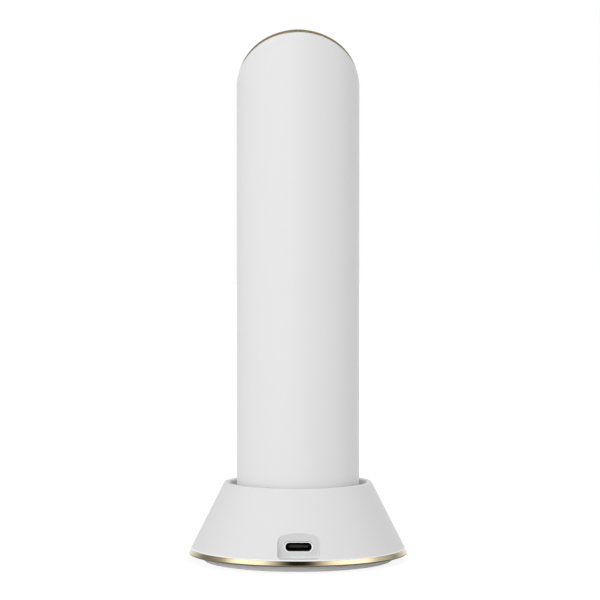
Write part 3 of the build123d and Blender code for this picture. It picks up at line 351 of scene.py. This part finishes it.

# Seal under the shell: a thin white bead of thermoplastic rubber that fills the joint between
# the shell and the gold ring. It is whiter than the shell: a painted highlight along the shell's lower
# edge.
# The bead's near-white colour is a painted highlight along the shell's lower edge.
rubber = new_material("white_bead_painted_highlight", "f7f7f6", 0.45, {"IOR": 1.49})
mottle(rubber, "f4f4f3", 4.0)
wander(rubber, 0.4, 0.5, 2.0)
BEAD_BACK = 34.6
BEAD_FOOT = Vector((34.97, 3.88))
BEAD_LIP = Vector((34.99, 4.0))
BEAD_TOP = Vector((34.84, 4.24))
BEAD_ROUND = 0.04
bead = lathe([(BEAD_BACK, BEAD_FOOT.y), BEAD_FOOT, BEAD_LIP, BEAD_TOP, (BEAD_BACK, BEAD_TOP.y)])
for corner in (BEAD_LIP, BEAD_TOP):
    round_ring(bead, corner, BEAD_ROUND)
finish_piece("dock_seal_bead", bead, [rubber], "dock")

# USB inlet: a shell of stainless steel, deep drawn and polished, flush with the recess's face.
# Its mouth is black round the moulded tongue, which carries two rows of gilt contacts. The black at
# the mouth's back is the plastic housing, and the black on its walls is painted shade.
steel = new_material("stainless_steel_polished", "f0f0ee", 0.1, {"Metallic": 1.0})
wander(steel, 0.07, 0.14, 1.0)
grain(steel, 0.08, 0.0003)
black = new_material("glass_filled_plastic_moulded_black", "101011", 0.5, {"IOR": 1.5})
mottle(black, "1a1a1b", 1.0)
wander(black, 0.4, 0.6, 0.6)
grain(black, 0.1, 0.003)
gilt = new_material("gold_plated_contact", "e8c66e", 0.2, {"Metallic": 1.0})
wander(gilt, 0.14, 0.28, 0.5)
grain(gilt, 0.05, 0.0005)

tongue = new_material("liquid_crystal_polymer_moulded_black", "050505", 0.6, {"IOR": 1.5})
mottle(tongue, "303030", 0.8)
wander(tongue, 0.5, 0.7, 0.5)

INLET_SKIN = 0.3
INLET_ROUND = 0.04
MOUTH_DEPTH = 6.5
SLOT_SEGMENTS = 12
# The roundings of a slot's end stop just short of each other, and the seam is then merged.
SLOT_SEAM = 0.01
SEAM_MERGE_WITHIN = 0.05


def rounded_bar(size, middle):
    """A bar along Y, whose section is a slot with fully round ends."""
    bar = bmesh.new()
    bmesh.ops.create_cube(bar, size=1.0)
    bmesh.ops.scale(bar, vec=size, verts=bar.verts)
    long_edges = [
        edge
        for edge in bar.edges
        if edge.verts[0].co.x == edge.verts[1].co.x and edge.verts[0].co.z == edge.verts[1].co.z
    ]
    round_off(bar, long_edges, size.z / 2 - SLOT_SEAM, SLOT_SEGMENTS)
    bmesh.ops.remove_doubles(bar, verts=bar.verts, dist=SEAM_MERGE_WITHIN)
    bmesh.ops.translate(bar, vec=middle, verts=bar.verts)
    return bar


def bar_end(bar, pick):
    """The bar's face that lies furthest out along Y, at its front with min or its back with max."""
    return pick(bar.faces, key=lambda face: face.calc_center_median().y)


inlet_low, inlet_high = [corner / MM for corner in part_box("usb_shell")]
inlet_size = inlet_high - inlet_low
inlet_middle = (inlet_high + inlet_low) / 2
inlet = rounded_bar(inlet_size, inlet_middle)
mouth = bar_end(inlet, min)
bmesh.ops.inset_region(inlet, faces=[mouth], thickness=INLET_SKIN, use_even_offset=True)
bed = bmesh.ops.extrude_discrete_faces(inlet, faces=[mouth])["faces"][0]
bmesh.ops.translate(inlet, vec=(0, MOUTH_DEPTH, 0), verts=bed.verts)
# The mouth's back takes black plastic, and its walls take the same black as painted shade.
for face in [bed] + [other for edge in bed.edges for other in edge.link_faces]:
    face.material_index = 1
rim = edges_where(inlet, lambda at: abs(at.y - inlet_low.y) < PICK_WITHIN)
round_off(inlet, rim, INLET_ROUND, segments=2)
finish_piece("usb_drawn_shell", inlet, [steel, black], "dock", ["usb_shell"])
dress(tongue, "usb_tongue")
dress(gilt, "usb_contacts")

# USB collar: a thin ring of the same polished steel, pressed over the shell's end. It covers the
# joint between the shell and the recess, and catches the light all round the mouth.
COLLAR_RIM = 0.45
COLLAR_PROUD = 0.06
COLLAR_SUNK = 0.01
COLLAR_ROUND = 0.03
collar_size = inlet_size + Vector((1, 0, 1)) * 2 * (COLLAR_RIM - INLET_SKIN)
collar_size.y = COLLAR_PROUD + COLLAR_SUNK
collar_middle = Vector((inlet_middle.x, inlet_low.y + (COLLAR_SUNK - COLLAR_PROUD) / 2, inlet_middle.z))
collar = rounded_bar(collar_size, collar_middle)
ends = [bar_end(collar, min), bar_end(collar, max)]
for end in ends:
    bmesh.ops.inset_region(collar, faces=[end], thickness=COLLAR_RIM, use_even_offset=True)
bmesh.ops.delete(collar, geom=ends, context="FACES_ONLY")
hole = [edge for edge in collar.edges if edge.is_boundary]
bmesh.ops.bridge_loops(collar, edges=hole)
bmesh.ops.recalc_face_normals(collar, faces=collar.faces)
collar_front = collar_middle.y - collar_size.y / 2
on_front = edges_where(collar, lambda at: abs(at.y - collar_front) < PICK_WITHIN)
front_edges = [edge for edge in on_front if edge.calc_face_angle(0) > SHARP_ANGLE]
round_off(collar, front_edges, COLLAR_ROUND, segments=2)
finish_piece("usb_collar", collar, [steel], "dock")

# Dock inside: a steel ballast ring, the charging board with its parts, and two gilt spring
# contacts in a black housing, whose tips show in the socket when the handset is lifted out.
board = new_material("glass_epoxy_board_green_mask", "1d5a38", 0.3, {"IOR": 1.55})
mottle(board, "174c2e", 2.0)
wander(board, 0.22, 0.42, 1.0)
grain(board, 0.5, 0.01)
ballast = new_material("steel_pressed_zinc_plated", "a9abae", 0.35, {"Metallic": 1.0})
mottle(ballast, "9a9ca0", 3.0)
wander(ballast, 0.28, 0.5, 2.0)
dress(ballast, "dock_weight", "dock_shell_screws", "dock_socket_screws", "dock_board_screws")
dress(board, "dock_board")
dress(black, "dock_board_chips", "pogo_housing")
dress(gilt, "pogo_pin_left", "pogo_pin_right")

# Contact springs: two coils of stainless steel wire, wound cold, that push the contacts up.
# Each is squashed as far as its contact travels, and a little more to stay clear of it.
COIL_WIRE = 0.22
WIRE_SIDES = 8
COIL_TURNS = 6
COIL_STEPS = 20 * COIL_TURNS
for side in ("left", "right"):
    low, high = [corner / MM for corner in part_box("pogo_spring_" + side)]
    middle = (low + high) / 2
    coil_radius = (high.x - low.x - COIL_WIRE) / 2
    coil_rise = high.z - low.z - COIL_WIRE
    wire_start = Matrix.Translation((coil_radius, 0, 0)) @ Matrix.Rotation(pi / 2, 4, "X")
    coil = bmesh.new()
    bmesh.ops.create_circle(coil, segments=WIRE_SIDES, radius=COIL_WIRE / 2, matrix=wire_start)
    bmesh.ops.spin(
        coil,
        geom=coil.verts[:] + coil.edges[:],
        axis=(0, 0, 1),
        cent=(0, 0, 0),
        dvec=(0, 0, coil_rise / COIL_STEPS),
        angle=2 * pi * COIL_TURNS,
        steps=COIL_STEPS,
    )
    bmesh.ops.holes_fill(coil, edges=coil.edges, sides=WIRE_SIDES)
    bmesh.ops.recalc_face_normals(coil, faces=coil.faces)
    bmesh.ops.translate(coil, vec=(middle.x, middle.y, low.z + COIL_WIRE / 2), verts=coil.verts)
    spring = finish_piece(
        "pogo_coil_" + side, coil, [steel], "dock", ["pogo_spring_" + side]
    )
    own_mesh(spring)

# Handset inside: a frame of natural nylon, injection moulded, with the cell in its blue
# shrink sleeve, the motor with its sintered weight, and the coils and cans of the main board.
nylon = new_material("nylon_moulded_natural", "cfccc2", 0.45, {"IOR": 1.53})
mottle(nylon, "c6c2b6", 5.0)
wander(nylon, 0.38, 0.55, 2.0)
sleeve_film = new_material("pvc_shrink_sleeve_blue", "2f6fae", 0.25, {"IOR": 1.53})
mottle(sleeve_film, "2a649f", 8.0)
wander(sleeve_film, 0.18, 0.34, 4.0)
insulation = new_material("wire_silicone_red", "9c1f1c", 0.55, {"IOR": 1.41})
mottle(insulation, "8a1a18", 2.0)
sinter = new_material("tungsten_sintered", "77777b", 0.5, {"Metallic": 1.0})
mottle(sinter, "66666a", 0.6)
grain(sinter, 0.15, 0.01)
ferrite = new_material("ferrite_pressed_with_enamelled_wire", "3a3432", 0.6, {"IOR": 1.6})
mottle(ferrite, "4a2f1c", 1.5)
grain(ferrite, 0.2, 0.01)
can = new_material("aluminium_drawn_can", "c9cacc", 0.3, {"Metallic": 1.0})
wander(can, 0.24, 0.38, 1.0)
polyimide = new_material("polyimide_flat_cable", "c07a2a", 0.3, {"IOR": 1.6})
mottle(polyimide, "a96922", 1.0)
dress(nylon, "inner_frame", "head_carrier", "main_board_connectors")
dress(sleeve_film, "battery_cell")
dress(insulation, "battery_leads", "charge_leads")
dress(sinter, "motor_weight")
dress(ferrite, "transformer")
dress(can, "capacitors")
dress(polyimide, "head_flex")
dress(silicone, "bottom_seal", "head_gasket")
dress(ballast, "bottom_cap_screws", "main_board_screws", "motor_can")
dress(board, "battery_board", "main_board", "head_board")
dress(black, "main_board_chips", "button_switches", "power_switch_plunger", "mode_switch_plunger")
dress(gilt, "charge_contacts")

# Control panel: a pill of white polycarbonate, polished in the mould and curved like the
# sleeve. Four pipes of milky acrylic bring the level lights through it.
mould_polish = {"IOR": 1.58, "Coat Weight": 0.4, "Coat Roughness": 0.05}
gloss = new_material("polycarbonate_white_gloss", "ececec", 0.12, mould_polish)
mottle(gloss, "e8e8e8", 15.0)
wander(gloss, 0.1, 0.16, 10.0)
acrylic = new_material("acrylic_clear_polished", "f2f4f4", 0.08, {"IOR": 1.49, "Transmission Weight": 0.85})
wander(acrylic, 0.05, 0.12, 0.8)
opal = new_material("acrylic_opal_moulded", "c4c9cb", 0.3, {"IOR": 1.49, "Transmission Weight": 0.2})
mottle(opal, "b9bec1", 0.5)
wander(opal, 0.24, 0.38, 0.5)
dress(gloss, "control_panel")
dress(opal, "light_pipes")
dress(acrylic, "indicator_leds", "head_leds")

# Buttons: two turned discs of the same lacquered ABS, domed like the sleeve and a little
# hollow for the finger. Their signs are printed in grey: on and off, and three level bars.
BUTTON_REACH = 20.3
BUTTON_RADIUS = 4.7
BUTTON_ROUND = 0.35
BLANK_HEIGHT = 5.0
STEM_RADIUS = 1.5
STEM_HEIGHT = 0.6
FLANGE_RADIUS = 5.4
FLANGE_TOP = 1.4
DISH_DEPTH = 0.12
DISH_RADIUS = 4.2
DISH_RINGS = 7


def button_face(x, off_axis):
    """How far out the button's face stands at this place across it."""
    hollow = DISH_DEPTH * max(0.0, 1 - (off_axis / DISH_RADIUS) ** 2)
    return sqrt(BUTTON_REACH**2 - x**2) - hollow


ink = new_material("pad_printed_ink_grey", "8d8f92", 0.6, {"IOR": 1.5})
mottle(ink, "868889", 1.0)
INK_DEPTH = 0.02
INK_RISE = 0.01
ARC_STEPS = 40


def printed_sign(name, body, height, strips):
    """A printed sign: strips of ink, each turned about the middle or drawn straight down."""
    sign = bmesh.new()
    for corners, turn, fall in strips:
        start = [sign.verts.new((x, 0, z)) for x, z in corners]
        edge = sign.edges.new(start)
        if turn:
            bmesh.ops.spin(
                sign, geom=start + [edge], axis=(0, 1, 0), cent=(0, 0, 0), angle=turn, steps=ARC_STEPS
            )
        else:
            drawn = bmesh.ops.extrude_edge_only(sign, edges=[edge])["geom"]
            moved = [item for item in drawn if isinstance(item, bmesh.types.BMVert)]
            bmesh.ops.translate(sign, vec=(0, 0, -fall), verts=moved)
    for v in sign.verts:
        v.co.y = button_face(v.co.x, hypot(v.co.x, v.co.z)) - INK_DEPTH
    printed = bmesh.ops.extrude_face_region(sign, geom=sign.faces[:])["geom"]
    outer = [item for item in printed if isinstance(item, bmesh.types.BMVert)]
    bmesh.ops.translate(sign, vec=(0, INK_DEPTH + INK_RISE, 0), verts=outer)
    bmesh.ops.recalc_face_normals(sign, faces=sign.faces)
    bmesh.ops.translate(sign, vec=(0, 0, height), verts=sign.verts)
    finish_piece(name, sign, [ink], body)


stem = [(0, 0), (STEM_RADIUS, 0), (STEM_RADIUS, STEM_HEIGHT)]
flange = [(FLANGE_RADIUS, STEM_HEIGHT), (FLANGE_RADIUS, FLANGE_TOP), (BUTTON_RADIUS, FLANGE_TOP)]
dish = [(DISH_RADIUS * ring / DISH_RINGS, BLANK_HEIGHT) for ring in range(DISH_RINGS, -1, -1)]
button_section = stem + flange + [(BUTTON_RADIUS, BLANK_HEIGHT)] + dish

POWER_RADIUS = 1.5
POWER_GAP = radians(32)
LINE_HALF = 0.15
LINE_TOP = 2.0
LINE_LENGTH = 1.7
arc_radii = (POWER_RADIUS - LINE_HALF, POWER_RADIUS + LINE_HALF)
arc = [(radius * sin(POWER_GAP), radius * cos(POWER_GAP)) for radius in arc_radii]
line = [(-LINE_HALF, LINE_TOP), (LINE_HALF, LINE_TOP)]
BARS = 3
BAR_PITCH = 0.85
BAR_HALF = 0.22
BAR_FOOT = -1.15
BAR_SHORTEST = 0.9
BAR_GROWTH = 0.7
bars = []
for bar in range(BARS):
    x = BAR_PITCH * ((BARS - 1) / 2 - bar)
    rise = BAR_SHORTEST + BAR_GROWTH * bar
    bars.append(([(x - BAR_HALF, BAR_FOOT + rise), (x + BAR_HALF, BAR_FOOT + rise)], 0, rise))
signs = {"power": [(arc, 2 * pi - 2 * POWER_GAP, 0), (line, 0, LINE_LENGTH)], "mode": bars}

for name, strips in signs.items():
    low, high = [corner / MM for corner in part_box(name + "_button")]
    middle = (low.z + high.z) / 2
    back = low.y
    button = lathe(button_section, closed=False)
    bmesh.ops.rotate(button, cent=(0, 0, 0), matrix=Matrix.Rotation(-pi / 2, 3, "X"), verts=button.verts)
    for v in button.verts:
        if v.co.y > BLANK_HEIGHT / 2:
            v.co.y = button_face(v.co.x, hypot(v.co.x, v.co.z)) - back
    barrel = edges_where(button, lambda at: abs(hypot(at.x, at.z) - BUTTON_RADIUS) < PICK_WITHIN)
    front_ring = [edge for edge in barrel if all(v.co.y > BLANK_HEIGHT / 2 for v in edge.verts)]
    round_off(button, front_ring, BUTTON_ROUND)
    bmesh.ops.translate(button, vec=(0, back, middle), verts=button.verts)
    finish_piece(
        name + "_button_disc", button, [white], name + "_control", [name + "_button"]
    )
    printed_sign(name + "_sign", name + "_control", middle, strips)

# Treatment head: a plate of gloss white polycarbonate under the gold bezel, with four
# chrome plated electrodes, a tinted lens over the lamps and a small heat sensor.
chrome = new_material("brass_chrome_plated", "d8dadc", 0.06, {"Metallic": 1.0})
wander(chrome, 0.04, 0.1, 2.0)
tinted = new_material("acrylic_tinted_red", "c8504c", 0.06, {"IOR": 1.49, "Transmission Weight": 0.7})
mottle(tinted, "b84440", 3.0)
dress(gold, "head_bezel")
dress(gloss, "treatment_plate")
dress(chrome, "head_electrodes", "temperature_sensor")
dress(tinted, "head_lens")

# Floor: a wide sheet of matt paper board, pale grey so that it throws less light up at the dock
# than white would. The camera sees it as the photograph's white ground, a little darker only
# where the dock keeps the light off it, and plain white far out.
SHEET_REACH = 4.0
FADE_NEAR, FADE_FAR = 0.3, 1.5
GLOW_NEAR, GLOW_FAR = 0.86, 1.0
SHADE_TONE = (0.22, 0.22, 0.22, 1)
paper = new_material("paper_board_pale_grey", "c0c0c0", 0.9)
path = add_node(paper, "LightPath")
ground = add_node(paper, "BsdfDiffuse", {"Color": SHADE_TONE})
spread = add_node(paper, "VectorMath", {"operation": "LENGTH"}, {"Vector": place_in(paper)})
fade = add_node(
    paper,
    "MapRange",
    {"From Min": FADE_NEAR, "From Max": FADE_FAR, "To Min": GLOW_NEAR, "To Max": GLOW_FAR},
    {"Value": spread.outputs["Value"]},
)
glow = add_node(paper, "Emission", links={"Strength": fade.outputs["Result"]})
seen = add_node(paper, "AddShader", links={"Shader": ground.outputs[0], "Shader_001": glow.outputs[0]})
in_view = add_node(
    paper,
    "Math",
    {"operation": "MAXIMUM"},
    {"Value": path.outputs["Is Camera Ray"], "Value_001": path.outputs["Is Glossy Ray"]},
)
through_glass = add_node(
    paper,
    "Math",
    {"operation": "MAXIMUM"},
    {"Value": in_view.outputs[0], "Value_001": path.outputs["Is Transmission Ray"]},
)
lit_and_seen = {"Shader": shader_of(paper).outputs[0], "Shader_001": seen.outputs[0]}
surface = add_node(paper, "MixShader", links={"Fac": through_glass.outputs[0], **lit_and_seen})
paper.node_tree.links.new(surface.outputs[0], paper.node_tree.nodes["Material Output"].inputs["Surface"])
sheet = bmesh.new()
bmesh.ops.create_grid(sheet, x_segments=1, y_segments=1, size=SHEET_REACH)
sheet_mesh = bpy.data.meshes.new("floor")
sheet.to_mesh(sheet_mesh)
sheet.free()
sheet_mesh.materials.append(paper)
floor = bpy.data.objects.new("floor", sheet_mesh)
view.collection.objects.link(floor)
floor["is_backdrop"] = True

# Light: an even white room at a plain level, a key softbox at the front left, one overhead, a
# fill on each side and three boxes behind. Metal mirrors a painted room in place of the lamps:
# dim near the floor, dark high in front, bright high on both sides and white at the far end.
ROOM_LEVEL = 0.5
CENTRE = Vector((0, 0, 0.085))
room = bpy.data.worlds.new("room")
room.use_nodes = True
view.world = room
ways = add_node(room, "LightPath")
direction = add_node(room, "TexCoord")


def patch(way, edge, middle, level_off, level_on):
    """A soft patch of the painted room. It lies this way from the object, and has level_on where
    a direction goes along it as far as middle, and level_off where it goes less than edge."""
    along = add_node(
        room,
        "VectorMath",
        {"operation": "DOT_PRODUCT", "Vector_001": way},
        {"Vector": direction.outputs["Generated"]},
    )
    levels = {"From Min": edge, "From Max": middle, "To Min": level_off, "To Max": level_on}
    paint = add_node(
        room, "MapRange", {"interpolation_type": "SMOOTHSTEP", **levels}, {"Value": along.outputs["Value"]}
    )
    return paint.outputs["Result"]


painted = patch((0.12, 0.0, 1.0), 0.35, 0.7, 0.22, 0.66)
dark_front = patch((0.0, -0.46, 0.888), 0.935, 0.997, 1.0, 0.0)
bright_left = patch((-0.61, -0.14, 0.78), 0.91, 1.0, 0.0, 0.9)
bright_right = patch((0.622, -0.1, 0.777), 0.89, 1.0, 0.0, 0.9)
white_end = patch((0.0, 1.0, 0.0), 0.4, 1.0, 0.0, 0.9)
for operation, coat in (
    ("MULTIPLY", dark_front),
    ("ADD", bright_left),
    ("ADD", bright_right),
    ("MAXIMUM", white_end),
):
    coats = add_node(room, "Math", {"operation": operation}, {"Value": painted, "Value_001": coat})
    painted = coats.outputs[0]
mirrored = add_node(
    room,
    "Mix",
    {"A_Float": ROOM_LEVEL},
    {"Factor_Float": ways.outputs["Is Glossy Ray"], "B_Float": painted},
)
open_view = add_node(
    room,
    "Math",
    {"operation": "MAXIMUM"},
    {"Value": ways.outputs["Is Camera Ray"], "Value_001": ways.outputs["Is Transmission Ray"]},
)
level = add_node(
    room,
    "Mix",
    {"B_Float": 1.0},
    {"Factor_Float": open_view.outputs[0], "A_Float": mirrored.outputs[0]},
)
background = room.node_tree.nodes["Background"]
background.inputs["Color"].default_value = (1, 1, 1, 1)
room.node_tree.links.new(level.outputs[0], background.inputs["Strength"])


def softbox(name, azimuth, elevation, distance, width, height, power):
    """A softbox that faces the object, in degrees, metres and watts. Azimuth 0 is the camera's
    side and 90 its right."""
    lamp = bpy.data.lights.new(name, "AREA")
    lamp.shape = "RECTANGLE"
    lamp.size = width
    lamp.size_y = height
    lamp.energy = power
    box = bpy.data.objects.new(name, lamp)
    turn, lift = radians(azimuth), radians(elevation)
    box.location = CENTRE + distance * Vector((cos(lift) * sin(turn), -cos(lift) * cos(turn), sin(lift)))
    box.rotation_euler = (CENTRE - box.location).to_track_quat("-Z", "Y").to_euler()
    box.visible_glossy = False
    view.collection.objects.link(box)


softbox("key", -20, 8, 1.1, 0.8, 0.4, 4.8)
softbox("top", 180, 88, 0.9, 0.8, 0.8, 0.8)
softbox("fill_left", -70, 20, 1.1, 0.6, 0.8, 2.5)
softbox("fill_right", 60, 8, 1.1, 0.6, 0.4, 2.0)
softbox("back_right", 125, 55, 1.1, 0.6, 0.6, 1.0)
softbox("back", 180, 25, 1.2, 2.4, 1.4, 3.6)
softbox("back_key", 160, 20, 1.1, 0.8, 0.8, 2.8)

# Camera: the photograph looks at the back of the device from 0.8 m away, a little above
# its middle, with a long lens. The USB inlet faces it.
CAMERA_DISTANCE = 0.800
CAMERA_ELEVATION = radians(1.65)
CAMERA_AZIMUTH = radians(-0.35)
CAMERA_LENS = 147.0
CAMERA_SENSOR = 36.0
AIM = Vector((0.00064, 0.0, 0.0848))
camera_data = bpy.data.cameras.new("camera")
camera_data.lens = CAMERA_LENS
camera_data.sensor_width = CAMERA_SENSOR
camera = bpy.data.objects.new("camera", camera_data)
sight_level = cos(CAMERA_ELEVATION)
camera.location = AIM + CAMERA_DISTANCE * Vector(
    (sight_level * sin(CAMERA_AZIMUTH), -sight_level * cos(CAMERA_AZIMUTH), sin(CAMERA_ELEVATION))
)
camera.rotation_euler = (AIM - camera.location).to_track_quat("-Z", "Y").to_euler()
view.collection.objects.link(camera)
view.camera = camera

low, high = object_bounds()
